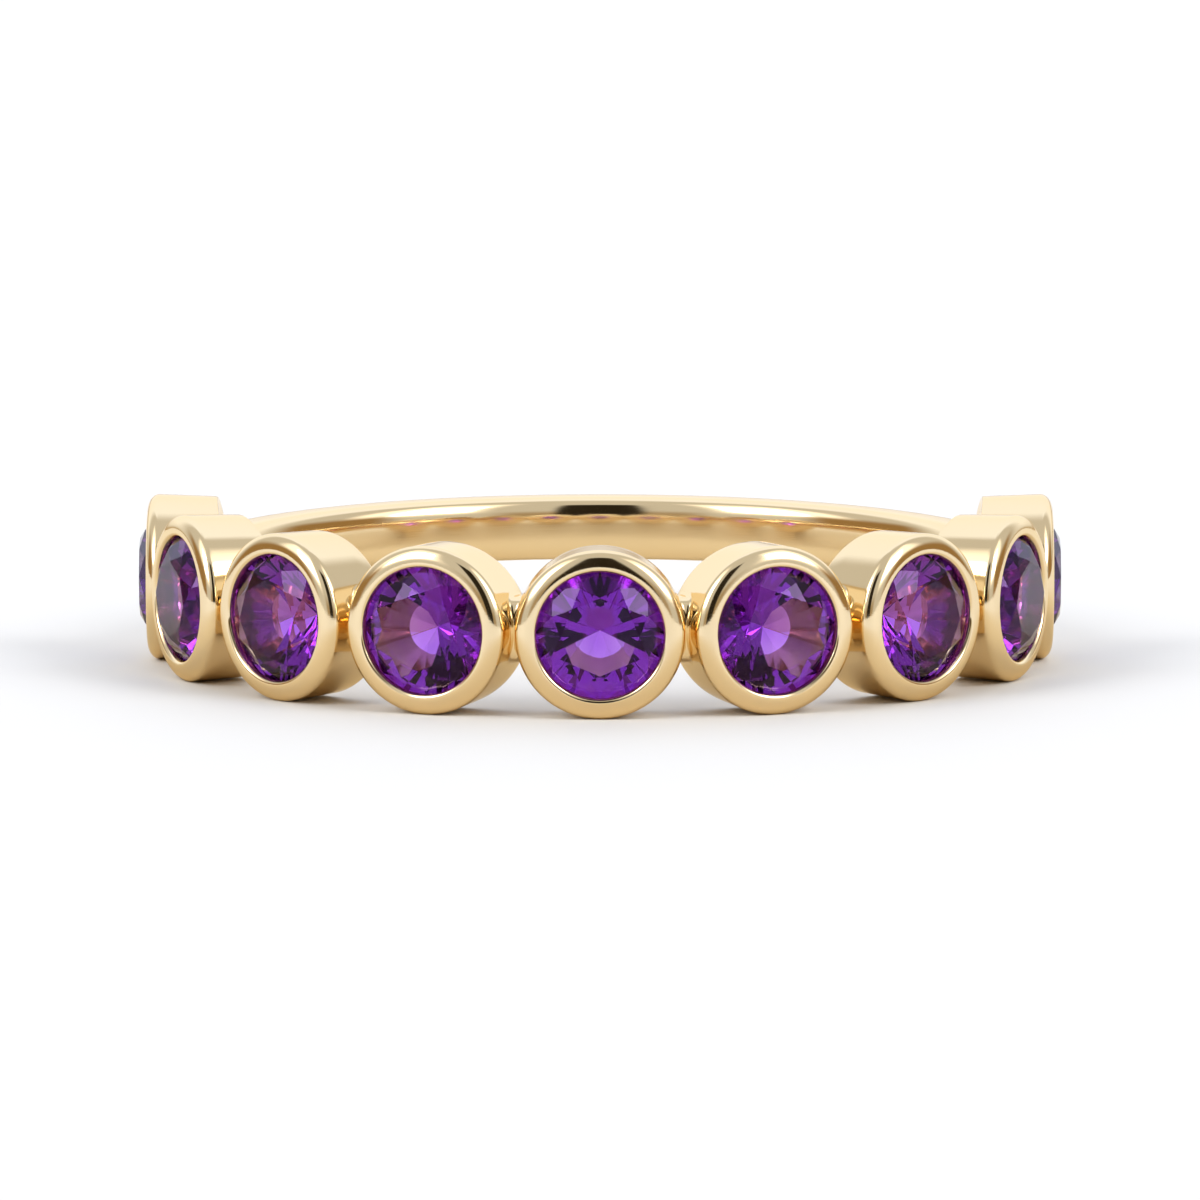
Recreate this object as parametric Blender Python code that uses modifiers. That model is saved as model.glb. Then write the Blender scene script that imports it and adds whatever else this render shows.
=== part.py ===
"""Half-eternity ring: a plain polished band whose front half carries nine round stones in bezel cups.

The ring lies on its side. Its finger axis is +Z, the middle stone faces -Y and the plain band is at +Y. The
origin is on the finger axis, on the surface that the ring lies on.
Run it with: blender --background --python part.py
"""

import math

import bmesh
import bpy
from mathutils import Matrix, Vector

MM = 0.001  # metres

# The band, a plain wire with a domed outside and a gently domed inside
FINGER_DIAMETER = 17.3 * MM
BAND_WIDTH = 1.5 * MM
BAND_THICKNESS = 1.2 * MM
BAND_EDGE_ROUND = 0.22 * MM
BAND_OUTER_DOME = 0.10 * MM
BAND_INNER_DOME = 0.12 * MM

# The stones, round brilliants
STONE_COUNT = 9
STONE_DIAMETER = 3.0 * MM
TABLE_DIAMETER = 1.76 * MM
CROWN_ANGLE = math.radians(34.0)
PAVILION_ANGLE = math.radians(41.0)
GIRDLE_THICKNESS = 0.07 * MM
STAR_REACH = 0.50  # how far a star facet reaches from the table's edge to the girdle
LOWER_HALF_REACH = 0.76  # how far a lower half facet reaches from the girdle to the culet
CULET_LIFT = 0.17 * MM  # from the finger hole's wall to the stone's point
# Quarter turns of a facet by which each stone is turned in its cup, as a setter leaves them
STONE_TURNS = (0.6, -0.3, 0.45, -0.15, 0.0, 0.15, -0.45, 0.3, -0.6)

# The bezel cups that hold the stones
CUP_WALL = 0.40 * MM  # from the stone's edge to the cup's widest circle
CUP_TAPER = 0.05 * MM  # how much narrower the cup's foot is than its rim, in radius
FOOT_RECESS = 0.16 * MM  # how far a cup's foot stays behind the finger hole's wall
RIM_RISE = 0.24 * MM  # from the stone's girdle to the top of the rim
RIM_SHOULDER = 0.27 * MM  # height of the rim's rounded outer shoulder
LIP_OVERLAP = 0.075 * MM  # how far the lip closes over the stone's edge
LIP_WIDTH = 0.09 * MM  # from the lip's inner edge to the rim's crest
LIP_DROP = 0.10 * MM  # from the top of the rim down to the lip's inner edge
RIM_GAP = 0.24 * MM  # between the rims of two neighbours
CULET_HOLE_DIAMETER = 1.1 * MM
STONE_CLEARANCE = 0.03 * MM
MERGE_DISTANCE = 0.001 * MM  # closer points of a turned outline are one

# Facets of the solids
BAND_SEGMENTS = 84
TRIM_SEGMENTS = 90
CUP_SEGMENTS = 28
EDGE_POINTS = 3
DOME_POINTS = 4
SHOULDER_POINTS = 5
CREST_POINTS = 3
MAINS = 8  # main facets round a stone

# What follows from the sizes above
FINGER_RADIUS = FINGER_DIAMETER / 2
STONE_RADIUS = STONE_DIAMETER / 2
TABLE_RADIUS = TABLE_DIAMETER / 2
CROWN_HEIGHT = (STONE_RADIUS - TABLE_RADIUS) * math.tan(CROWN_ANGLE)
PAVILION_DEPTH = STONE_RADIUS * math.tan(PAVILION_ANGLE)
GIRDLE_LOW = FINGER_RADIUS + CULET_LIFT + PAVILION_DEPTH  # distances from the finger axis
GIRDLE_HIGH = GIRDLE_LOW + GIRDLE_THICKNESS
RIM_TOP = GIRDLE_HIGH + RIM_RISE
SHOULDER_LOW = RIM_TOP - RIM_SHOULDER
CUP_RADIUS = STONE_RADIUS + CUP_WALL
OPENING_RADIUS = STONE_RADIUS - LIP_OVERLAP
CREST_RADIUS = OPENING_RADIUS + LIP_WIDTH
FOOT_RADIUS = FINGER_RADIUS + FOOT_RECESS
MID_HEIGHT = CUP_RADIUS  # the cups' widest circles rest on the surface

GOLD = ("polished_gold", (0.83, 0.62, 0.32), 1.0, 0.12, 0.0)
AMETHYST = ("amethyst", (0.42, 0.16, 0.72), 0.0, 0.02, 0.8)


def clear_scene():
    """Removes the objects of the scene that the file was opened with."""
    for obj in list(bpy.data.objects):
        bpy.data.objects.remove(obj, do_unlink=True)


def new_collection(name):
    """A collection linked to the scene."""
    collection = bpy.data.collections.new(name)
    bpy.context.scene.collection.children.link(collection)
    return collection


def new_material(name, colour, metallic, roughness, transmission):
    """A Principled material with one colour."""
    material = bpy.data.materials.new(name)
    material.use_nodes = True
    shader = material.node_tree.nodes["Principled BSDF"]
    shader.inputs["Base Color"].default_value = (*colour, 1.0)
    shader.inputs["Metallic"].default_value = metallic
    shader.inputs["Roughness"].default_value = roughness
    shader.inputs["Transmission Weight"].default_value = transmission
    material.diffuse_color = (*colour, 1.0)
    return material


def new_object(name, mesh, collection):
    """An object that holds the mesh, linked to the collection."""
    obj = bpy.data.objects.new(name, mesh)
    collection.objects.link(obj)
    return obj


def hide_helper(obj):
    """Marks a cutter or a solid that is only joined to another."""
    obj.hide_render = True
    obj.display_type = "WIRE"
    return obj


def arc_points(centre, radii, start, end, count):
    """Points on an arc of an ellipse, from the angle start to end in degrees, both ends included."""
    points = []
    for step in range(count):
        angle = math.radians(start + (end - start) * step / (count - 1))
        points.append((centre[0] + radii[0] * math.cos(angle), centre[1] + radii[1] * math.sin(angle)))
    return points


def band_outline():
    """The band's cross-section as (distance from the finger axis, height) points, outer side first."""
    half = BAND_WIDTH / 2
    inner_edge = FINGER_RADIUS + BAND_INNER_DOME
    outer = FINGER_RADIUS + BAND_THICKNESS
    outer_edge = outer - BAND_OUTER_DOME
    corner = half - BAND_EDGE_ROUND
    rounding = (BAND_EDGE_ROUND, BAND_EDGE_ROUND)
    points = []
    # The outer side, from the upper corner down to the lower one
    points += arc_points((outer_edge - BAND_EDGE_ROUND, corner), rounding, 90, 30, EDGE_POINTS)
    for step in range(1, DOME_POINTS):
        share = step / DOME_POINTS * 2 - 1
        points.append((outer - BAND_OUTER_DOME * share**2, -corner * share))
    points += arc_points((outer_edge - BAND_EDGE_ROUND, -corner), rounding, -30, -90, EDGE_POINTS)
    # The inner side, from the lower corner up to the upper one
    points += arc_points((inner_edge + BAND_EDGE_ROUND, -corner), rounding, 270, 210, EDGE_POINTS)
    for step in range(1, DOME_POINTS):
        share = step / DOME_POINTS * 2 - 1
        points.append((FINGER_RADIUS + BAND_INNER_DOME * share**2, corner * share))
    points += arc_points((inner_edge + BAND_EDGE_ROUND, corner), rounding, 150, 90, EDGE_POINTS)
    return points


def cup_outline():
    """A cup's outside as (radius, distance from the finger axis) points, from its top to its foot."""
    rounding = (CUP_RADIUS - CREST_RADIUS, RIM_SHOULDER)
    shoulder = arc_points((CREST_RADIUS, SHOULDER_LOW), rounding, 90, 0, SHOULDER_POINTS)
    foot_low = FOOT_RADIUS - CUP_RADIUS / 2  # below the finger hole's wall, where the foot is trimmed
    slope = CUP_TAPER / (SHOULDER_LOW - FOOT_RADIUS)
    foot = CUP_RADIUS - slope * (SHOULDER_LOW - foot_low)
    return [(0, RIM_TOP), *shoulder, (foot, foot_low), (0, foot_low)]


def cavity_outline():
    """The hollow in a cup as (radius, distance from the finger axis) points, from its mouth to its foot."""
    lip_low = GIRDLE_HIGH + LIP_OVERLAP * math.tan(CROWN_ANGLE) + STONE_CLEARANCE
    seat_radius = STONE_RADIUS + STONE_CLEARANCE
    hole_radius = CULET_HOLE_DIAMETER / 2
    seat_low = GIRDLE_LOW - STONE_CLEARANCE
    hole_high = seat_low - (seat_radius - hole_radius) * math.tan(PAVILION_ANGLE)
    above = RIM_TOP + RIM_SHOULDER
    crest = arc_points((CREST_RADIUS, RIM_TOP - LIP_DROP), (LIP_WIDTH, LIP_DROP), 90, 180, CREST_POINTS)
    return [
        (0, above),
        (CREST_RADIUS, above),
        *crest,
        (OPENING_RADIUS, lip_low),
        (seat_radius, GIRDLE_HIGH + STONE_CLEARANCE),
        (seat_radius, seat_low),
        (hole_radius, hole_high),
        (hole_radius, FOOT_RADIUS - CUP_RADIUS),
        (0, FOOT_RADIUS - CUP_RADIUS),
    ]


def outline_mesh(name, outline, closed):
    """A mesh of the outline's edges, in the plane of X and Z."""
    mesh = bpy.data.meshes.new(name)
    count = len(outline)
    edges = [(i, (i + 1) % count) for i in range(count if closed else count - 1)]
    mesh.from_pydata([(x, 0, z) for x, z in outline], edges, [])
    return mesh


def add_turning(obj, segments):
    """Turns the object's outline about its Z axis."""
    screw = obj.modifiers.new("turning", "SCREW")
    screw.steps = segments
    screw.render_steps = segments
    screw.use_merge_vertices = True
    screw.merge_threshold = MERGE_DISTANCE
    screw.use_smooth_shade = True


def add_boolean(obj, operation, tool=None, tools=None):
    """Joins or cuts the object with another, or with all in a collection."""
    boolean = obj.modifiers.new(operation.lower(), "BOOLEAN")
    boolean.operation = operation
    boolean.solver = "EXACT"
    if tools is None:
        boolean.object = tool
    else:
        boolean.operand_type = "COLLECTION"
        boolean.collection = tools


def pitch_angle():
    """The angle between two neighbouring stones that leaves RIM_GAP between the cups' widest circles."""
    reach = math.hypot(SHOULDER_LOW, CUP_RADIUS)
    return 2 * (math.asin(RIM_GAP / 2 / reach) + math.atan2(CUP_RADIUS, SHOULDER_LOW))


def seat_matrices():
    """For each stone, the matrix that turns +Z outwards along the stone's axis, with local X kept level."""
    matrices = []
    for index in range(STONE_COUNT):
        azimuth = (index - (STONE_COUNT - 1) / 2) * pitch_angle()
        outward = Vector((math.sin(azimuth), -math.cos(azimuth), 0))
        level = Vector((math.cos(azimuth), math.sin(azimuth), 0))
        turn = Matrix((level, outward.cross(level), outward)).transposed().to_4x4()
        matrices.append(Matrix.Translation((0, 0, MID_HEIGHT)) @ turn)
    return matrices


def make_foot_trim(collection):
    """The cylinder that trims the cups' feet to the finger hole."""
    bpy.ops.mesh.primitive_cylinder_add(
        vertices=TRIM_SEGMENTS, radius=FOOT_RADIUS, depth=3 * MID_HEIGHT, location=(0, 0, MID_HEIGHT)
    )
    trim = bpy.context.object
    trim.name = "foot_trim"
    for holder in list(trim.users_collection):
        holder.objects.unlink(trim)
    collection.objects.link(trim)
    return hide_helper(trim)


def make_cups(seats, cups, cavities, helpers):
    """The nine cups' outsides and hollows, which the band is joined to and cut with."""
    trim = make_foot_trim(helpers)
    outside = outline_mesh("cup_outside", cup_outline(), closed=False)
    hollow = outline_mesh("cup_hollow", cavity_outline(), closed=False)
    for number, seat in enumerate(seats, start=1):
        cup = hide_helper(new_object(f"cup_outside_{number}", outside, cups))
        cup.matrix_world = seat
        add_turning(cup, CUP_SEGMENTS)
        add_boolean(cup, "DIFFERENCE", tool=trim)
        cavity = hide_helper(new_object(f"cup_hollow_{number}", hollow, cavities))
        cavity.matrix_world = seat
        add_turning(cavity, CUP_SEGMENTS)


def make_ring_body(collection, cups, cavities, gold):
    """The metal: the band with the cups soldered to it and hollowed out, one solid."""
    body = new_object("ring_body", outline_mesh("ring_body", band_outline(), closed=True), collection)
    body.location.z = MID_HEIGHT
    body.data.materials.append(gold)
    add_turning(body, BAND_SEGMENTS)
    add_boolean(body, "UNION", tools=cups)
    add_boolean(body, "DIFFERENCE", tools=cavities)
    return body


def ring_of(mesh, radius, height, count, first_angle):
    """Points at one height round the Z axis, evenly spaced."""
    made = []
    for step in range(count):
        angle = first_angle + 2 * math.pi * step / count
        made.append(mesh.verts.new((radius * math.cos(angle), radius * math.sin(angle), height)))
    return made


def brilliant_mesh(name):
    """A round brilliant on the Z axis, table up, its point CULET_LIFT over the finger hole's wall."""
    half_step = math.pi / MAINS
    star_radius = TABLE_RADIUS * math.cos(half_step) * (1 - STAR_REACH) + STONE_RADIUS * STAR_REACH
    crown_slope = CROWN_HEIGHT / (STONE_RADIUS - TABLE_RADIUS)
    star_height = GIRDLE_HIGH + (STONE_RADIUS - star_radius * math.cos(half_step)) * crown_slope
    lower_radius = STONE_RADIUS * (1 - LOWER_HALF_REACH)
    pavilion_slope = PAVILION_DEPTH / STONE_RADIUS
    lower_height = GIRDLE_LOW - (STONE_RADIUS - lower_radius * math.cos(half_step)) * pavilion_slope

    cut = bmesh.new()
    table = ring_of(cut, TABLE_RADIUS, GIRDLE_HIGH + CROWN_HEIGHT, MAINS, 0)
    stars = ring_of(cut, star_radius, star_height, MAINS, half_step)
    high = ring_of(cut, STONE_RADIUS, GIRDLE_HIGH, 2 * MAINS, 0)
    low = ring_of(cut, STONE_RADIUS, GIRDLE_LOW, 2 * MAINS, 0)
    lowers = ring_of(cut, lower_radius, lower_height, MAINS, half_step)
    culet = cut.verts.new((0, 0, GIRDLE_LOW - PAVILION_DEPTH))

    cut.faces.new(table)
    for i in range(MAINS):
        after = (i + 1) % MAINS
        here, between, there = high[2 * i], high[2 * i + 1], high[2 * after]
        cut.faces.new((table[i], stars[i], table[after]))
        cut.faces.new((table[i], stars[i - 1], here, stars[i]))
        cut.faces.new((stars[i], here, between))
        cut.faces.new((stars[i], between, there))
        low_here, low_between, low_there = low[2 * i], low[2 * i + 1], low[2 * after]
        cut.faces.new((lowers[i], low_between, low_here))
        cut.faces.new((lowers[i], low_there, low_between))
        cut.faces.new((culet, lowers[i], low_here, lowers[i - 1]))
    for i in range(2 * MAINS):
        after = (i + 1) % (2 * MAINS)
        cut.faces.new((high[i], low[i], low[after], high[after]))
    bmesh.ops.recalc_face_normals(cut, faces=cut.faces)
    mesh = bpy.data.meshes.new(name)
    cut.to_mesh(mesh)
    cut.free()
    return mesh


def make_stones(seats, collection, amethyst):
    """The nine stones, each in its cup."""
    mesh = brilliant_mesh("stone")
    mesh.materials.append(amethyst)
    quarter_facet = math.pi / MAINS / 2
    for number, (seat, turns) in enumerate(zip(seats, STONE_TURNS), start=1):
        stone = new_object(f"stone_{number}", mesh, collection)
        stone.matrix_world = seat @ Matrix.Rotation(turns * quarter_facet, 4, "Z")


def main():
    """Builds the ring."""
    clear_scene()
    ring = new_collection("half_eternity_ring")
    cups = new_collection("cup_outsides")
    cavities = new_collection("cup_hollows")
    helpers = new_collection("trimming_tools")
    seats = seat_matrices()
    make_cups(seats, cups, cavities, helpers)
    make_ring_body(ring, cups, cavities, new_material(*GOLD))
    make_stones(seats, ring, new_material(*AMETHYST))


main()
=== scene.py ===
"""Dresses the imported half-eternity ring: polished gold, nine amethysts, a pale floor and soft studio light.

Blender 4.5. Lengths are in metres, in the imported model's own frame: the finger axis is +Z, the middle stone
faces -Y, and the ring lies on the floor at Z = 0. An azimuth is counted from the middle stone, positive
towards +X.
"""

from __future__ import annotations

import logging
import math
from dataclasses import dataclass, field
from enum import Enum

import bmesh
import bpy
import numpy as np
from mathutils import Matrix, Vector


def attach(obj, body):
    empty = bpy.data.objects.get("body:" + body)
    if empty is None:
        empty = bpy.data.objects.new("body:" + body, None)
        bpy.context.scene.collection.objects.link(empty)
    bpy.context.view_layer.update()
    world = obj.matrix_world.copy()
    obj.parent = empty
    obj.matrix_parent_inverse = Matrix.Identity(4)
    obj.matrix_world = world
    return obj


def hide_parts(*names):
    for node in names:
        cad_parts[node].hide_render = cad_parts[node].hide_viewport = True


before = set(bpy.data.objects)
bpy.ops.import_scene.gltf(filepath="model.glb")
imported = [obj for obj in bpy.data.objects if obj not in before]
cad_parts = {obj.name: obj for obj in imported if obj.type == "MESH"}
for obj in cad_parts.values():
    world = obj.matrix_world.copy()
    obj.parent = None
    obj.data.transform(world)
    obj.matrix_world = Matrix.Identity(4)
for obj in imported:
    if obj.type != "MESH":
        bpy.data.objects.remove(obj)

MM = 0.001
BODY = "root"
METAL_NODE = "ring_body"
STONE_NODE = "stone_"
MATT_ATTRIBUTE = "matt_inside"
NOISE_ROUGHNESS = 0.55

Colour = tuple[float, float, float]

log = logging.getLogger("half_eternity_ring")


class Slot(Enum):
    """Names for the material slots."""

    GOLD = "gold"
    AMETHYST = "amethyst"


class NodeBoard:
    """Adds nodes to a node tree and wires them together."""

    def __init__(self, tree: bpy.types.NodeTree) -> None:
        """Starts on a tree.

        Args:
            tree: the tree to fill, emptied first.
        """
        self.tree = tree
        tree.nodes.clear()

    def add(self, kind: str, inputs: dict | None = None, **settings: object) -> bpy.types.Node:
        """Adds a node.

        Args:
            kind: the node's type, such as ShaderNodeMath.
            inputs: what goes into its sockets, by name or number: a value, or another node's output.
            settings: the node's own properties.

        Returns:
            The new node.
        """
        node = self.tree.nodes.new(kind)
        for name, value in settings.items():
            setattr(node, name, value)
        self.feed(node, inputs or {})
        return node

    def feed(self, node: bpy.types.Node, inputs: dict) -> None:
        """Fills a node's sockets.

        Args:
            node: the node.
            inputs: what goes into its sockets, by name or number: a value, or another node's output.
        """
        for key, value in inputs.items():
            if isinstance(value, bpy.types.NodeSocket):
                self.tree.links.new(value, node.inputs[key])
            else:
                node.inputs[key].default_value = value

    def math(self, operation: str, *values: object) -> bpy.types.NodeSocket:
        """Adds a Math node.

        Args:
            operation: the node's operation.
            values: its inputs, numbers or outputs.

        Returns:
            The node's result.
        """
        return self.add("ShaderNodeMath", dict(enumerate(values)), operation=operation).outputs[0]

    def smooth_step(self, value: bpy.types.NodeSocket, low: float, high: float) -> bpy.types.NodeSocket:
        """Adds a soft threshold.

        Args:
            value: what is compared.
            low: where the result leaves 0.
            high: where it reaches 1. It may be the smaller of the two.

        Returns:
            A share from 0 to 1.
        """
        inputs = {"Value": value, "From Min": low, "From Max": high}
        return self.add("ShaderNodeMapRange", inputs, interpolation_type="SMOOTHSTEP").outputs[0]

    def blend(
        self,
        share: bpy.types.NodeSocket,
        first: Colour | bpy.types.NodeSocket,
        second: Colour | bpy.types.NodeSocket,
        name: str,
    ) -> bpy.types.NodeSocket:
        """Blends two colours.

        Args:
            share: how much of the second one there is, from 0 to 1.
            first: a colour, or another node's output.
            second: the same.
            name: what the blend is, as the node's label.

        Returns:
            The blended colour.
        """
        inputs = {"Factor": share}
        for socket, colour in ((6, first), (7, second)):
            inputs[socket] = (*colour, 1.0) if isinstance(colour, tuple) else colour
        return self.add("ShaderNodeMix", inputs, data_type="RGBA", label=name).outputs[2]

    def noise(
        self, vector: bpy.types.NodeSocket, size: float, detail: float, name: str
    ) -> bpy.types.NodeSocket:
        """Adds a noise pattern.

        Args:
            vector: the coordinates, in metres.
            size: the width of one patch, in metres.
            detail: how many finer layers it has.
            name: what the pattern is, as the node's label.

        Returns:
            The noise, from 0 to 1.
        """
        inputs = {"Vector": vector, "Scale": 1 / size, "Detail": detail, "Roughness": NOISE_ROUGHNESS}
        return self.add("ShaderNodeTexNoise", inputs, label=name).outputs["Fac"]


def new_shader(name: str) -> tuple[NodeBoard, bpy.types.Material, bpy.types.Node]:
    """Makes a material with a Principled shader wired to its output.

    Args:
        name: the material's name.

    Returns:
        Its board, the material and the shader.
    """
    material = bpy.data.materials.new(name)
    material.use_nodes = True
    board = NodeBoard(material.node_tree)
    shader = board.add("ShaderNodeBsdfPrincipled")
    board.add("ShaderNodeOutputMaterial", {"Surface": shader.outputs[0]}, name="Material Output")
    return board, material, shader


@dataclass(frozen=True)
class PolishedGold:
    """Pale 14 carat gold: a mirror with a buffing wheel's haze and hairlines, less bright inside the cups."""

    colour: Colour = (0.91, 0.745, 0.485)
    warm_colour: Colour = (0.885, 0.705, 0.435)
    edge_on_tint: Colour = (1.0, 0.90, 0.72)
    matt_colour: Colour = (0.88, 0.73, 0.58)
    matt_roughness: float = 0.14
    tint_patch: float = 3.0 * MM
    gloss_roughness: float = 0.07
    haze_roughness: float = 0.13
    haze_patch: float = 1.4 * MM
    haze_from: float = 0.35
    haze_full: float = 0.7
    hairline_width: float = 0.03 * MM
    hairline_length: float = 1.2 * MM
    hairline_depth: float = 0.00035 * MM

    def material(self) -> bpy.types.Material:
        """Makes the finish.

        Returns:
            The material.
        """
        board, material, shader = new_shader("polished_gold")
        place = board.add("ShaderNodeTexCoord").outputs["Object"]
        matt = board.add("ShaderNodeAttribute", attribute_name=MATT_ATTRIBUTE).outputs["Fac"]
        tint = board.noise(place, self.tint_patch, detail=2, name="alloy tint")
        polished_colour = board.blend(tint, self.colour, self.warm_colour, "alloy")
        colour = board.blend(matt, polished_colour, self.matt_colour, "inside of the cups")

        haze = board.noise(place, self.haze_patch, detail=4, name="buffing haze")
        inputs = {"Value": haze, "From Min": self.haze_from, "From Max": self.haze_full}
        inputs |= {"To Min": self.gloss_roughness, "To Max": self.haze_roughness}
        polished = board.add("ShaderNodeMapRange", inputs).outputs[0]
        inputs = {"Factor": matt, 2: polished, 3: self.matt_roughness}
        roughness = board.add("ShaderNodeMix", inputs, data_type="FLOAT").outputs[0]

        stretch = (1 / self.hairline_length, 1 / self.hairline_length, 1 / self.hairline_width)
        lines = board.add("ShaderNodeMapping", {"Vector": place, "Scale": stretch}).outputs[0]
        grain = board.noise(lines, 1.0, detail=2, name="hairlines round the finger")
        bump = board.add("ShaderNodeBump", {"Distance": self.hairline_depth, "Height": grain}).outputs[0]

        surface = {"Base Color": colour, "Roughness": roughness, "Normal": bump, "Metallic": 1.0}
        board.feed(shader, surface | {"Specular Tint": (*self.edge_on_tint, 1.0)})
        return material


@dataclass(frozen=True)
class CutAmethyst:
    """Clear purple quartz with faint colour zones. Its colour deepens with the light's way through it."""

    pale_zone: Colour = (0.86, 0.74, 0.98)
    deep_zone: Colour = (0.70, 0.52, 0.94)
    zone_width: float = 0.9 * MM
    zone_from: float = 0.4
    zone_full: float = 0.65
    body_colour: Colour = (0.63, 0.18, 0.79)
    absorption: float = 1150.0
    refraction: float = 1.544
    surface_tint: Colour = (0.55, 0.36, 0.78)
    roughness: float = 0.0

    def material(self) -> bpy.types.Material:
        """Makes the finish.

        Returns:
            The material.
        """
        board, material, shader = new_shader("cut_amethyst")
        place = board.add("ShaderNodeTexCoord").outputs["Object"]
        zones = board.noise(place, self.zone_width, detail=1, name="colour zones")
        share = board.smooth_step(zones, self.zone_from, self.zone_full)
        colour = board.blend(share, self.pale_zone, self.deep_zone, "body tint")
        surface = {"Base Color": colour, "Roughness": self.roughness, "IOR": self.refraction}
        surface |= {"Transmission Weight": 1.0, "Specular Tint": (*self.surface_tint, 1.0)}
        board.feed(shader, surface)
        inside = {"Color": (*self.body_colour, 1.0), "Density": self.absorption}
        body = board.add("ShaderNodeVolumeAbsorption", inside).outputs[0]
        board.feed(board.tree.nodes["Material Output"], {"Volume": body})
        return material


def put_in_scene(name: str, data: bpy.types.ID) -> bpy.types.Object:
    """Makes an object at the origin.

    Args:
        name: its name.
        data: its mesh or camera.

    Returns:
        The object, linked to the scene.
    """
    made = bpy.data.objects.new(name, data)
    bpy.context.scene.collection.objects.link(made)
    return made


def modified_mesh(carrier: bpy.types.Object) -> bpy.types.Mesh:
    """Copies an object's mesh as its modifiers leave it.

    Args:
        carrier: the object.

    Returns:
        The mesh.
    """
    graph = bpy.context.evaluated_depsgraph_get()
    return bpy.data.meshes.new_from_object(carrier.evaluated_get(graph), depsgraph=graph)


def stone_nodes() -> list[str]:
    """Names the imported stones.

    Returns:
        Their nodes' names, in order.
    """
    return sorted(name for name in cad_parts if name.startswith(STONE_NODE))


def new_piece(name: str, mesh: bpy.types.Mesh, finish: bpy.types.Material) -> bpy.types.Object:
    """Makes a finished piece of the ring at the origin.

    Args:
        name: the piece's name.
        mesh: its mesh, already in place.
        finish: its material.

    Returns:
        The piece, riding on the ring's body.
    """
    mesh.name = name
    mesh.materials.clear()
    mesh.materials.append(finish)
    piece = put_in_scene(name, mesh)
    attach(piece, BODY)
    return piece


def grid_faces(rows: int, columns: int, closed_rows: bool, closed_columns: bool) -> list[tuple[int, ...]]:
    """Quads over a grid of points numbered row by row.

    Args:
        rows: how many rows.
        columns: how many points in a row.
        closed_rows: whether the last row joins the first.
        closed_columns: whether a row's last point joins its first.

    Returns:
        The quads' point numbers.
    """
    faces = []
    for i in range(rows if closed_rows else rows - 1):
        for j in range(columns if closed_columns else columns - 1):
            here, below = i * columns, (i + 1) % rows * columns
            after = (j + 1) % columns
            faces.append((here + j, here + after, below + after, below + j))
    return faces


def round_finger(radius: np.ndarray, azimuth: np.ndarray, height: np.ndarray) -> np.ndarray:
    """Points given by cylinder coordinates about the finger axis.

    Args:
        radius: distances from the axis.
        azimuth: angles from the middle stone.
        height: heights over the ring's middle plane.

    Returns:
        The points, one a row.
    """
    radius, azimuth, height = np.broadcast_arrays(radius, azimuth, height)
    points = np.stack([radius * np.sin(azimuth), -radius * np.cos(azimuth), height], -1)
    return points.reshape(-1, 3)


def shade_smooth(shell: bmesh.types.BMesh, crease: float) -> None:
    """Shades a mesh smooth and keeps its edges sharp where it turns by more than an angle.

    Args:
        shell: the mesh.
        crease: the angle.
    """
    for face in shell.faces:
        face.smooth = True
    for edge in shell.edges:
        edge.smooth = edge.calc_face_angle(0.0) <= crease


def smooth_mesh(
    name: str, points: np.ndarray, faces: list[tuple[int, ...]], crease: float = math.pi
) -> bpy.types.Mesh:
    """Makes a smooth-shaded mesh whose faces point outwards.

    Args:
        name: the mesh's name.
        points: its points.
        faces: its faces.
        crease: the angle above which an edge stays sharp.

    Returns:
        The mesh.
    """
    mesh = bpy.data.meshes.new(name)
    mesh.from_pydata(points.tolist(), [], faces)
    shell = bmesh.new()
    shell.from_mesh(mesh)
    bmesh.ops.recalc_face_normals(shell, faces=shell.faces)
    shade_smooth(shell, crease)
    shell.to_mesh(mesh)
    shell.free()
    return mesh


@dataclass
class Seats:
    """Where the stones stand round the finger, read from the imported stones."""

    azimuths: list[float] = field(default_factory=list)
    height: float = 0.0

    def __post_init__(self) -> None:
        """Reads the stones' directions from the means of their points, which lie on the stones' axes."""
        for name in stone_nodes():
            middle = np.mean([v.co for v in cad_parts[name].data.vertices], axis=0)
            self.azimuths.append(math.atan2(middle[0], -middle[1]))
            self.height = float(middle[2])
        self.azimuths.sort()

    @property
    def count(self) -> int:
        """How many stones there are."""
        return len(self.azimuths)

    @property
    def pitch(self) -> float:
        """The angle between two neighbours."""
        return (self.azimuths[-1] - self.azimuths[0]) / (self.count - 1)


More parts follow.
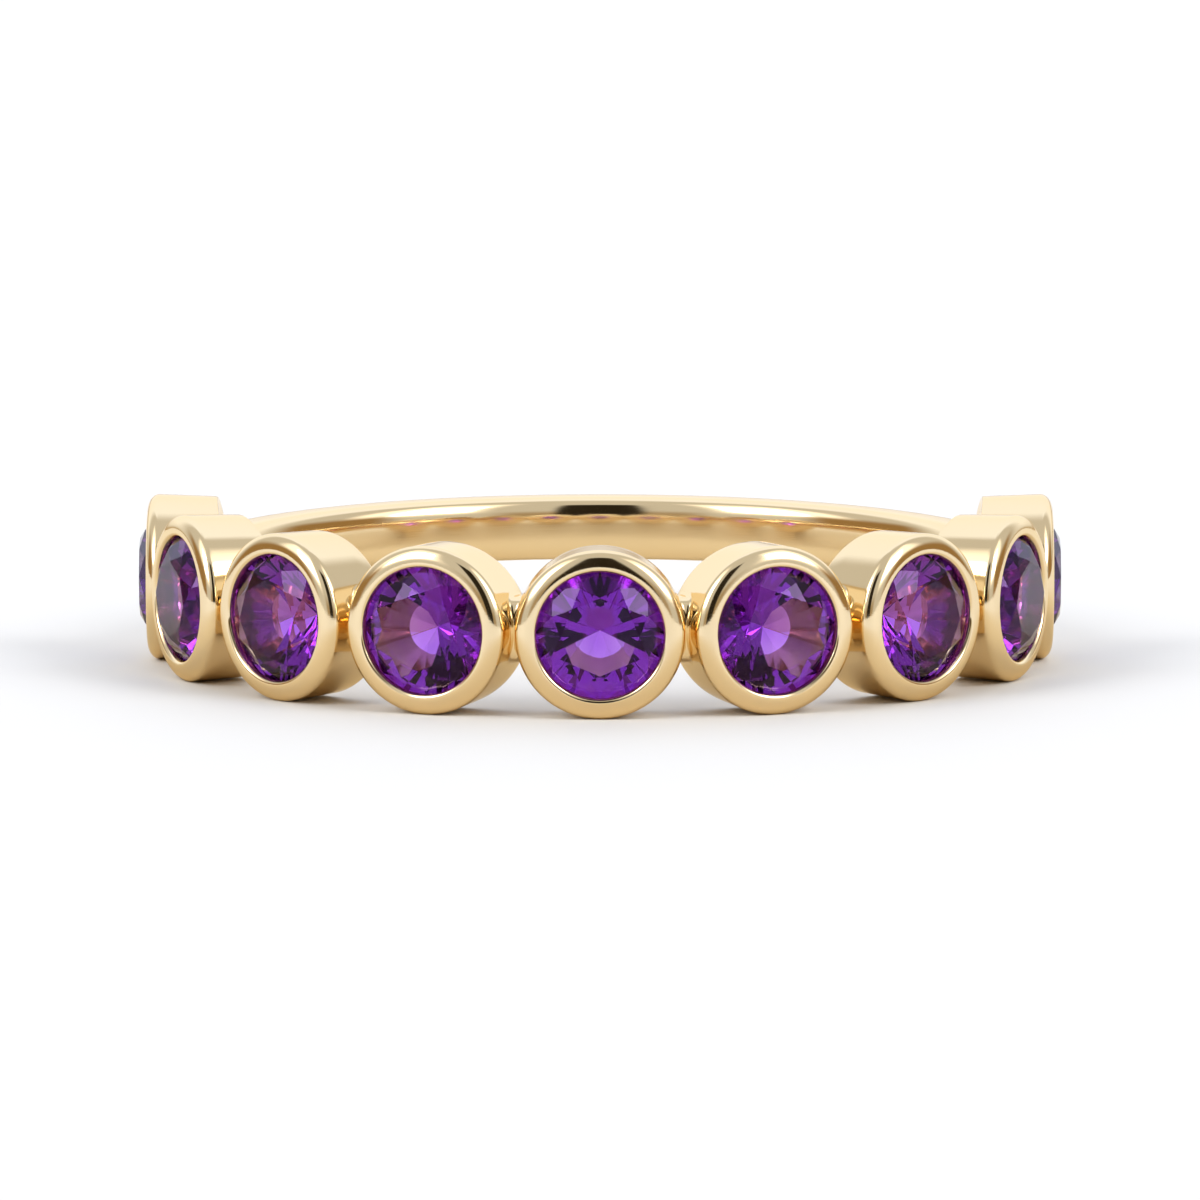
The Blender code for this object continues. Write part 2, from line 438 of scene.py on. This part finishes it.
@dataclass
class RoundTheFinger:
    """A Geometry Nodes tree that repeats a piece at even steps round the finger axis."""

    name: str

    def tree(self) -> bpy.types.NodeTree:
        """Builds the tree.

        Returns:
            The tree, with named inputs for the piece, the count, the pitch, the height and the finish.
        """
        tree = bpy.data.node_groups.new(self.name, "GeometryNodeTree")
        board = NodeBoard(tree)
        for label, kind in (
            ("Geometry", "NodeSocketGeometry"),
            ("Piece", "NodeSocketObject"),
            ("Count", "NodeSocketInt"),
            ("Pitch", "NodeSocketFloat"),
            ("Height", "NodeSocketFloat"),
            ("Finish", "NodeSocketMaterial"),
        ):
            tree.interface.new_socket(label, in_out="INPUT", socket_type=kind)
        tree.interface.new_socket("Geometry", in_out="OUTPUT", socket_type="NodeSocketGeometry")
        given = board.add("NodeGroupInput").outputs
        piece = board.add("GeometryNodeObjectInfo", {"Object": given["Piece"]}, transform_space="ORIGINAL")
        start = board.add("ShaderNodeCombineXYZ", {"Z": given["Height"]})
        inputs = {"Count": given["Count"], "Start Location": start.outputs[0], "Offset": (0, 0, 0)}
        places = board.add("GeometryNodeMeshLine", inputs)
        last = board.math("SUBTRACT", given["Count"], 1)
        middle = board.math("MULTIPLY", last, 0.5)
        step = board.math("SUBTRACT", board.add("GeometryNodeInputIndex").outputs[0], middle)
        angle = board.math("MULTIPLY", step, given["Pitch"])
        turn = board.add("FunctionNodeAxisAngleToRotation", {"Axis": (0, 0, 1), "Angle": angle})
        inputs = {"Points": places.outputs[0], "Rotation": turn.outputs[0]}
        inputs |= {"Instance": piece.outputs["Geometry"]}
        placed = board.add("GeometryNodeInstanceOnPoints", inputs)
        real = board.add("GeometryNodeRealizeInstances", {"Geometry": placed.outputs[0]})
        inputs = {"Geometry": real.outputs[0], "Material": given["Finish"]}
        finished = board.add("GeometryNodeSetMaterial", inputs)
        board.add("NodeGroupOutput", {"Geometry": finished.outputs[0]})
        return tree

    def repeat(self, mesh: bpy.types.Mesh, seats: Seats, finish: bpy.types.Material) -> bpy.types.Mesh:
        """Repeats a mesh that is modelled at azimuth 0, about the ring's middle plane.

        Args:
            mesh: the mesh of one piece.
            seats: gives the count, the pitch and the height.
            finish: the pieces' material.

        Returns:
            One mesh with all the copies in place.
        """
        pattern = put_in_scene("pattern", mesh)
        carrier = put_in_scene("carrier", bpy.data.meshes.new("carrier"))
        tree = self.tree()
        modifier = carrier.modifiers.new(self.name, "NODES")
        modifier.node_group = tree
        given = {
            "Piece": pattern,
            "Count": seats.count,
            "Pitch": seats.pitch,
            "Height": seats.height,
            "Finish": finish,
        }
        for item in tree.interface.items_tree:
            if item.in_out == "INPUT" and item.name in given:
                modifier[item.identifier] = given[item.name]
        made = modified_mesh(carrier)
        for helper in (pattern, carrier):
            bpy.data.objects.remove(helper)
        return made


def arc(wide: float, high: float, start: float, stop: float, steps: int) -> list[tuple[float, float]]:
    """Points on an arc of an ellipse about its middle.

    Args:
        wide: the ellipse's reach across.
        high: its reach upwards.
        start: the first point's angle.
        stop: the last point's angle.
        steps: how many points.

    Returns:
        The points, across and up.
    """
    angles = np.linspace(start, stop, steps)
    return [(wide * math.cos(angle), high * math.sin(angle)) for angle in angles]


@dataclass(frozen=True)
class CupRow:
    """One circle of points of a turned cup: its size, its place and how matt the metal is there."""

    radius: float
    distance: float
    on_foot: bool = False
    matt: float = 0.0


@dataclass
class BezelCups:
    """The cups that hold the stones: a nearly straight wall, a round rim, a closed lip, a seat and a hole."""

    finish: bpy.types.Material
    rim_radius: float = 1.90 * MM
    foot_radius: float = 1.85 * MM
    crest_radius: float = 1.515 * MM
    opening_radius: float = 1.425 * MM
    seat_radius: float = 1.512 * MM
    hole_radius: float = 0.55 * MM
    rim_top: float = 10.434 * MM
    shoulder_low: float = 10.164 * MM
    lip_round: float = 0.10 * MM
    lip_low: float = 10.255 * MM
    girdle_high: float = 10.202 * MM
    girdle_low: float = 10.100 * MM
    pavilion_slope: float = math.tan(math.radians(41.0))
    foot_distance: float = 8.81 * MM
    foot_edge_round: float = 0.05 * MM
    wall_low_share: float = 0.2
    wall_high_share: float = 0.95
    edge_steps: int = 5
    wall_steps: int = 6
    rim_steps: int = 18
    lip_steps: int = 9
    segments: int = 112

    def wall_radius(self, distance: np.ndarray | float) -> np.ndarray | float:
        """The outer wall's radius about the cup's own axis.

        Args:
            distance: distances from the finger axis along the cup's axis.

        Returns:
            The radii.
        """
        share = (distance - self.foot_distance) / (self.shoulder_low - self.foot_distance)
        return self.foot_radius + (self.rim_radius - self.foot_radius) * share

    def rows(self) -> list[CupRow]:
        """The turned outline, from the foot's outer edge over the rim and back down to the hole's edge.

        Returns:
            Its circles. The distance of one that is on the foot is counted from the curved foot.
        """
        edge = self.foot_edge_round
        rows = []
        for outward, up in arc(edge, edge, math.pi / 2, 0, self.edge_steps):
            rows.append(CupRow(self.foot_radius - edge + outward, edge - up, on_foot=True))
        wall_height = self.shoulder_low - self.foot_distance
        for share in np.linspace(self.wall_low_share, self.wall_high_share, self.wall_steps):
            distance = self.foot_distance + wall_height * share
            rows.append(CupRow(self.wall_radius(distance), distance))
        taper = math.atan2(self.rim_radius - self.foot_radius, wall_height)
        wide, deep = self.rim_radius - self.crest_radius, self.rim_top - self.shoulder_low
        for outward, up in arc(wide, deep, -taper / 2, math.pi / 2, self.rim_steps):
            rows.append(CupRow(self.crest_radius + outward, self.shoulder_low + up))
        lip = self.crest_radius - self.opening_radius
        low = self.rim_top - self.lip_round
        for outward, up in arc(lip, self.lip_round, math.pi / 2, math.pi, self.lip_steps)[1:]:
            rows.append(CupRow(self.crest_radius + outward, low + up))
        rows.append(CupRow(self.opening_radius, (low + self.lip_low) / 2))
        rows.append(CupRow(self.opening_radius, self.lip_low, matt=0.5))
        rows.append(CupRow(self.seat_radius, self.girdle_high, matt=1.0))
        rows.append(CupRow(self.seat_radius, self.girdle_low, matt=1.0))
        hole_high = self.girdle_low - (self.seat_radius - self.hole_radius) * self.pavilion_slope
        rows.append(CupRow(self.hole_radius, hole_high, matt=1.0))
        for outward, up in arc(edge, edge, math.pi, 1.5 * math.pi, self.edge_steps):
            rows.append(CupRow(self.hole_radius + edge + outward, edge + up, on_foot=True, matt=0.5))
        return rows

    def one_cup(self) -> bpy.types.Mesh:
        """Builds the cup at azimuth 0.

        Returns:
            Its mesh, with the share of matt finish as an attribute of its points.
        """
        turn = np.linspace(0, 2 * math.pi, self.segments, endpoint=False)
        points = []
        rows = self.rows()
        for row in rows:
            across = row.radius * np.cos(turn)
            foot = np.sqrt(self.foot_distance**2 - across**2) if row.on_foot else 0
            out = np.broadcast_to(row.distance + foot, turn.shape)
            points.append(np.stack([across, -out, row.radius * np.sin(turn)], -1))
        faces = grid_faces(len(rows), self.segments, True, True)
        mesh = smooth_mesh("bezel_cup", np.concatenate(points), faces)
        share = mesh.attributes.new(MATT_ATTRIBUTE, "FLOAT", "POINT")
        share.data.foreach_set("value", np.repeat([row.matt for row in rows], self.segments))
        return mesh

    def build(self, seats: Seats) -> bpy.types.Object:
        """Builds all the cups as one piece.

        Args:
            seats: where the stones stand.

        Returns:
            The piece.
        """
        mesh = RoundTheFinger("cups_round_the_finger").repeat(self.one_cup(), seats, self.finish)
        return new_piece("bezel_cups", mesh, self.finish)


@dataclass
class Band:
    """The wire round the finger, bare at the back, soldered through the cups and opened behind each stone."""

    finish: bpy.types.Material
    cups: BezelCups
    inner_radius: float = 8.65 * MM
    outer_radius: float = 9.85 * MM
    half_width: float = 0.75 * MM
    squareness: float = 4.0
    solder_reach: float = 0.08 * MM
    solder_fade: float = 0.20 * MM
    solder_least: float = 0.006 * MM
    solder_root: float = 0.03 * MM
    hole_margin: float = 0.02 * MM
    mouth_flare: float = 0.05 * MM
    crease_angle: float = math.radians(28)
    weld: float = 0.0002 * MM
    widest_meeting: float = math.radians(25)
    halvings: int = 40
    outline_points: int = 88
    turn_steps: int = 448
    solder_steps: int = 7

    def outline(self) -> tuple[np.ndarray, np.ndarray, np.ndarray, np.ndarray]:
        """The wire's cross-section, a rounded square with gently domed sides.

        Returns:
            Distances from the finger axis, heights, and the outward normal's two parts, one entry a point.
        """
        half_depth = (self.outer_radius - self.inner_radius) / 2
        middle = (self.outer_radius + self.inner_radius) / 2
        turn = np.linspace(0, 2 * math.pi, self.outline_points, endpoint=False)
        power = self.squareness
        wide, high = np.cos(turn) / half_depth, np.sin(turn) / self.half_width
        size = (np.abs(wide) ** power + np.abs(high) ** power) ** (-1 / power)
        across, up = size * np.cos(turn), size * np.sin(turn)
        slope_across = np.sign(across) * np.abs(across / half_depth) ** (power - 1) / half_depth
        slope_up = np.sign(up) * np.abs(up / self.half_width) ** (power - 1) / self.half_width
        length = np.hypot(slope_across, slope_up)
        return middle + across, up, slope_across / length, slope_up / length

    def wall_meeting(self, distance: np.ndarray, height: np.ndarray) -> np.ndarray:
        """Finds where lines round the finger meet the outer wall of the cup at azimuth 0.

        Args:
            distance: each line's distance from the finger axis.
            height: each line's height.

        Returns:
            The azimuths.
        """
        low, high = np.zeros_like(distance), np.full_like(distance, self.widest_meeting)
        for _ in range(self.halvings):
            middle = (low + high) / 2
            off_axis = np.hypot(distance * np.sin(middle), height)
            inside = off_axis < self.cups.wall_radius(distance * np.cos(middle))
            low, high = np.where(inside, middle, low), np.where(inside, high, middle)
        return (low + high) / 2

    def solder(self) -> bpy.types.Mesh:
        """Builds the two fillets of solder where the wire enters the cup at azimuth 0.

        Each is a closed shell: its hollow face bridges wire and cup, and its root is sunk in both.

        Returns:
            Their mesh.
        """
        distance, height, out, up = self.outline()
        fade = np.clip((distance - self.cups.foot_distance) / self.solder_fade, 0, 1)
        reach = self.solder_least + (self.solder_reach - self.solder_least) * fade * fade * (3 - 2 * fade)
        corner = self.wall_meeting(distance, height)
        climbed, lifted = distance + reach * out, height + reach * up
        on_cup = self.wall_meeting(climbed, lifted)
        on_wire = corner + reach / distance
        share = np.linspace(0, 1, self.solder_steps)[:, None]
        first, second, third = (1 - share) ** 2, 2 * share * (1 - share), share**2
        far = first * distance + second * distance + third * climbed
        azimuth = first * on_wire + second * corner + third * on_cup
        level = first * height + second * height + third * lifted
        root = self.solder_root
        far = np.vstack([far, distance - root * out])
        azimuth = np.vstack([azimuth, corner - root / distance])
        level = np.vstack([level, height - root * up])
        fillets = [round_finger(far, side * azimuth, level) for side in (1, -1)]
        faces = grid_faces(self.solder_steps + 1, self.outline_points, True, True)
        mirrored = [tuple(number + fillets[0].shape[0] for number in face) for face in faces]
        return smooth_mesh("solder", np.concatenate(fillets), faces + mirrored, self.crease_angle)

    def wire(self, seats: Seats) -> bpy.types.Mesh:
        """Turns the wire's outline once round the finger.

        Args:
            seats: gives the height.

        Returns:
            The mesh.
        """
        distance, height, _, _ = self.outline()
        azimuth = np.linspace(0, 2 * math.pi, self.turn_steps, endpoint=False)[:, None]
        points = round_finger(distance, azimuth, height + seats.height)
        return smooth_mesh("wire", points, grid_faces(self.turn_steps, self.outline_points, True, True))

    def hole_cutter(self) -> bpy.types.Mesh:
        """Turns the shape that opens the wire behind the stone at azimuth 0, its mouth a little flared.

        Returns:
            The mesh.
        """
        cups = self.cups
        neck = cups.hole_radius + self.hole_margin
        mouth = self.inner_radius + self.mouth_flare
        top = cups.girdle_low
        wide = cups.seat_radius + self.hole_margin
        outline = [
            (neck + 2 * self.mouth_flare, mouth - 2 * self.mouth_flare),
            (neck, mouth),
            (neck, top - (wide - neck) * cups.pavilion_slope),
            (wide, top),
            (wide, top + cups.rim_radius),
        ]
        turn = np.linspace(0, 2 * math.pi, cups.segments, endpoint=False)
        points = []
        for radius, distance in outline:
            out = np.full_like(turn, -distance)
            points.append(np.stack([radius * np.cos(turn), out, radius * np.sin(turn)], -1))
        faces = grid_faces(len(outline), cups.segments, False, True)
        faces.append(tuple(range(cups.segments)))
        faces.append(tuple(range((len(outline) - 1) * cups.segments, len(outline) * cups.segments)))
        return smooth_mesh("hole_cutter", np.concatenate(points), faces)

    def opened_wire(self, seats: Seats) -> bpy.types.Mesh:
        """Cuts the holes behind the stones into the wire.

        Args:
            seats: where the stones stand.

        Returns:
            The mesh, smooth but for the holes' edges.
        """
        holes = RoundTheFinger("holes_round_the_finger").repeat(self.hole_cutter(), seats, self.finish)
        blank = put_in_scene("wire_blank", self.wire(seats))
        cutter = put_in_scene("hole_cutters", holes)
        boolean = blank.modifiers.new("holes", "BOOLEAN")
        boolean.operation = "DIFFERENCE"
        boolean.solver = "EXACT"
        boolean.object = cutter
        cut = modified_mesh(blank)
        for helper in (blank, cutter):
            bpy.data.objects.remove(helper)
        shell = bmesh.new()
        shell.from_mesh(cut)
        bmesh.ops.remove_doubles(shell, verts=shell.verts, dist=self.weld)
        bmesh.ops.dissolve_degenerate(shell, edges=shell.edges, dist=self.weld)
        shade_smooth(shell, self.crease_angle)
        shell.to_mesh(cut)
        shell.free()
        return cut

    def build(self, seats: Seats) -> list[bpy.types.Object]:
        """Builds the wire and its solder.

        Args:
            seats: where the stones stand.

        Returns:
            The two pieces.
        """
        solder = RoundTheFinger("solder_round_the_finger").repeat(self.solder(), seats, self.finish)
        return [
            new_piece("band_wire", self.opened_wire(seats), self.finish),
            new_piece("solder_fillets", solder, self.finish),
        ]


@dataclass
class Stones:
    """The faceted stones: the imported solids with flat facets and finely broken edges."""

    finish: bpy.types.Material
    edge_polish: float = 0.006 * MM
    flat_angle: float = math.radians(1.0)
    weld: float = 0.001 * MM

    def cut(self, node: str) -> bpy.types.Mesh:
        """Copies a packed stone, joins its loose triangles into facets and breaks their edges.

        Args:
            node: the stone's node.

        Returns:
            The mesh.
        """
        gem = bmesh.new()
        gem.from_mesh(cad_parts[node].data)
        bmesh.ops.remove_doubles(gem, verts=gem.verts, dist=self.weld)
        bmesh.ops.dissolve_limit(gem, angle_limit=self.flat_angle, verts=gem.verts, edges=gem.edges)
        bmesh.ops.bevel(
            gem,
            geom=gem.edges,
            offset=self.edge_polish,
            segments=1,
            affect="EDGES",
            profile=0.5,
            clamp_overlap=True,
        )
        bmesh.ops.recalc_face_normals(gem, faces=gem.faces)
        for face in gem.faces:
            face.smooth = False
        mesh = bpy.data.meshes.new(node)
        gem.to_mesh(mesh)
        gem.free()
        return mesh

    def build(self) -> list[bpy.types.Object]:
        """Builds every stone.

        Returns:
            The stones' pieces.
        """
        pieces = []
        for node in stone_nodes():
            piece = new_piece(f"cut_{node}", self.cut(node), self.finish)
            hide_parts(node)
            pieces.append(piece)
        return pieces


class Tint(Enum):
    """The colours of the light in the studio."""

    PLAIN = (1.0, 0.995, 0.985)
    COOL = (0.98, 1.04, 1.18)
    GOLDEN = (1.0, 0.78, 0.50)
    AMBER = (1.0, 0.62, 0.25)

    def at(self, brightness: float) -> Colour:
        """The light's colour at a brightness.

        Args:
            brightness: the brightness.

        Returns:
            The colour.
        """
        return tuple(brightness * part for part in self.value)


@dataclass(frozen=True)
class SkyPatch:
    """A soft-edged rectangle of the sky, by azimuth and elevation in degrees, with its own brightness."""

    name: str
    azimuth: float
    half_width: float
    low: float
    high: float
    brightness: float
    softness: float = 8.0
    tint: Tint = Tint.PLAIN


@dataclass
class Studio:
    """The plain surroundings: floor, soft light and camera."""

    floor_size: float = 3.0
    floor_whiteness: float = 0.78
    floor_unevenness: float = 0.015
    floor_patch: float = 0.12
    floor_roughness: float = 0.75
    floor_gloss: float = 0.2
    # painted reflection and painted shade: the floor's colour as the gold mirrors it right under the ring,
    # darker and golden
    painted_gold_reflection: Colour = (0.68, 0.60, 0.46)
    painted_reflection_full: float = 12.0 * MM
    painted_reflection_end: float = 24.0 * MM
    stone_bounces: int = 24
    gold_bounces: int = 20
    floor_bounces: int = 4
    camera_distance: float = 0.300
    camera_elevation: float = math.radians(7.35)
    aim_height: float = 1.35 * MM
    focal_length: float = 390.0
    sensor_width: float = 36.0
    nearest_seen: float = 0.01
    farthest_seen: float = 10.0
    tent_brightness: float = 0.66
    # Each patch covers the ones before it: name, azimuth, half width, low, high, brightness, softness, tint.
    patches: tuple[SkyPatch, ...] = (
        SkyPatch("left box", -64, 24, 16, 62, 1.6, 14.0),
        SkyPatch("right box", 64, 24, 16, 62, 1.6, 14.0),
        SkyPatch("back box", 180, 50, 3, 80, 1.15, 20.0, Tint.COOL),
        SkyPatch("far horizon", 180, 70, -30, 2, 0.5, 5.0, Tint.GOLDEN),
        SkyPatch("horizon", 0, 32, -30, 13, 0.42, 14.0, Tint.GOLDEN),
        SkyPatch("left cloth", -93, 24, -30, 22, 0.34, 16.0, Tint.AMBER),
        SkyPatch("right cloth", 93, 24, -30, 22, 0.34, 16.0, Tint.AMBER),
        SkyPatch("left lamp", -57, 13, 21, 48, 8.0),
        SkyPatch("right lamp", 57, 13, 21, 48, 8.0),
        SkyPatch("front card", 0, 14, -2, 52, 0.025, 4.0, Tint.GOLDEN),
    )

    def floor(self) -> bpy.types.Object:
        """Lays the floor. Right under the ring, what glossy rays see of it is painted darker and golden: a
        painted reflection of gold, with painted shade.

        Returns:
            The floor.
        """
        mesh = bpy.data.meshes.new("floor")
        half = self.floor_size / 2
        corners = [(-half, -half, 0), (half, -half, 0), (half, half, 0), (-half, half, 0)]
        mesh.from_pydata(corners, [], [(0, 1, 2, 3)])
        board, material, shader = new_shader("pale_floor")
        place = board.add("ShaderNodeTexCoord").outputs["Object"]
        cloud = board.noise(place, self.floor_patch, detail=2, name="faint unevenness")
        darkest = self.floor_whiteness * (1 - self.floor_unevenness)
        palest = self.floor_whiteness * (1 + self.floor_unevenness)
        inputs = {"Value": cloud, "To Min": darkest, "To Max": palest}
        shade = board.add("ShaderNodeMapRange", inputs).outputs[0]
        off_centre = board.add("ShaderNodeVectorMath", {0: place}, operation="LENGTH").outputs["Value"]
        # Painted reflection and painted shade: only glossy rays see the floor golden and darker, fully within
        # 12 mm of the middle, fading out by 24 mm.
        near = board.smooth_step(off_centre, self.painted_reflection_end, self.painted_reflection_full)
        mirrored = board.math("MULTIPLY", near, board.add("ShaderNodeLightPath").outputs["Is Glossy Ray"])
        colour = board.blend(mirrored, shade, self.painted_gold_reflection, "painted golden reflection and shade")
        surface = {"Base Color": colour, "Roughness": self.floor_roughness}
        board.feed(shader, surface | {"Specular IOR Level": self.floor_gloss})
        mesh.materials.append(material)
        floor = put_in_scene("floor", mesh)
        return floor

    def sky(self) -> bpy.types.World:
        """Makes the light all round: a pale tent, then boxes, horizons, cloths, lamps and a dark card.

        Returns:
            The world.
        """
        world = bpy.data.worlds.new("studio_tent")
        world.use_nodes = True
        board = NodeBoard(world.node_tree)
        way = board.add("ShaderNodeTexCoord").outputs["Generated"]
        parts = board.add("ShaderNodeSeparateXYZ", {"Vector": way}).outputs
        to_degrees = math.degrees(1)
        front = board.math("MULTIPLY", parts["Y"], -1.0)
        azimuth = board.math("MULTIPLY", board.math("ARCTAN2", parts["X"], front), to_degrees)
        elevation = board.math("MULTIPLY", board.math("ARCSINE", parts["Z"]), to_degrees)
        light = Tint.PLAIN.at(self.tent_brightness)
        for patch in self.patches:
            off = board.math("SUBTRACT", azimuth, float(patch.azimuth))
            off = board.math("ABSOLUTE", board.math("WRAP", off, 180.0, -180.0))
            edge = patch.softness
            beside = board.smooth_step(off, patch.half_width + edge / 2, patch.half_width - edge / 2)
            over = board.smooth_step(elevation, patch.low - edge / 2, patch.low + edge / 2)
            under = board.smooth_step(elevation, patch.high + edge / 2, patch.high - edge / 2)
            mask = board.math("MULTIPLY", beside, board.math("MULTIPLY", over, under))
            light = board.blend(mask, light, patch.tint.at(patch.brightness), patch.name)
        glow = board.add("ShaderNodeBackground", {"Color": light, "Strength": 1.0})
        board.add("ShaderNodeOutputWorld", {"Surface": glow.outputs[0]})
        bpy.context.scene.world = world
        return world

    def camera(self, height: float) -> bpy.types.Object:
        """Places the camera at the photograph's angle to the ring.

        Args:
            height: the height of the ring's middle plane.

        Returns:
            The camera.
        """
        data = bpy.data.cameras.new("camera")
        data.sensor_width = self.sensor_width
        data.lens = self.focal_length
        data.clip_start = self.nearest_seen
        data.clip_end = self.farthest_seen
        camera = put_in_scene("camera", data)
        back = self.camera_distance * math.cos(self.camera_elevation)
        camera.location = (0.0, -back, height + self.camera_distance * math.sin(self.camera_elevation))
        sight = Vector((0.0, 0.0, self.aim_height)) - camera.location
        camera.rotation_euler = sight.to_track_quat("-Z", "Y").to_euler()
        bpy.context.scene.camera = camera
        return camera

    def light_paths(self) -> None:
        """Lets light bounce long enough inside the stones, and keeps whites as white as the photograph's."""
        cycles = bpy.context.scene.cycles
        cycles.max_bounces = self.stone_bounces
        cycles.transmission_bounces = self.stone_bounces
        cycles.glossy_bounces = self.gold_bounces
        cycles.diffuse_bounces = self.floor_bounces
        bpy.context.scene.view_settings.view_transform = "Standard"

    def build(self, height: float) -> None:
        """Sets up floor, light and camera.

        Args:
            height: the height of the ring's middle plane.
        """
        self.floor()
        self.sky()
        self.camera(height)
        self.light_paths()


def main() -> None:
    """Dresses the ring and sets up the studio."""
    logging.basicConfig(level=logging.INFO, format="%(name)s: %(message)s")
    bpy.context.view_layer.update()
    seats = Seats()
    log.info("%d seats, %.2f degrees apart", seats.count, math.degrees(seats.pitch))

    gold = PolishedGold().material()
    cups = BezelCups(finish=gold)
    cup_piece = cups.build(seats)
    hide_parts(METAL_NODE)
    metal = [cup_piece, *Band(finish=gold, cups=cups).build(seats)]
    stones = Stones(finish=CutAmethyst().material()).build()
    for piece in metal + stones:
        log.info("%s: %d faces", piece.name, len(piece.data.polygons))

    Studio().build(seats.height)


if __name__ == "__main__":
    main()
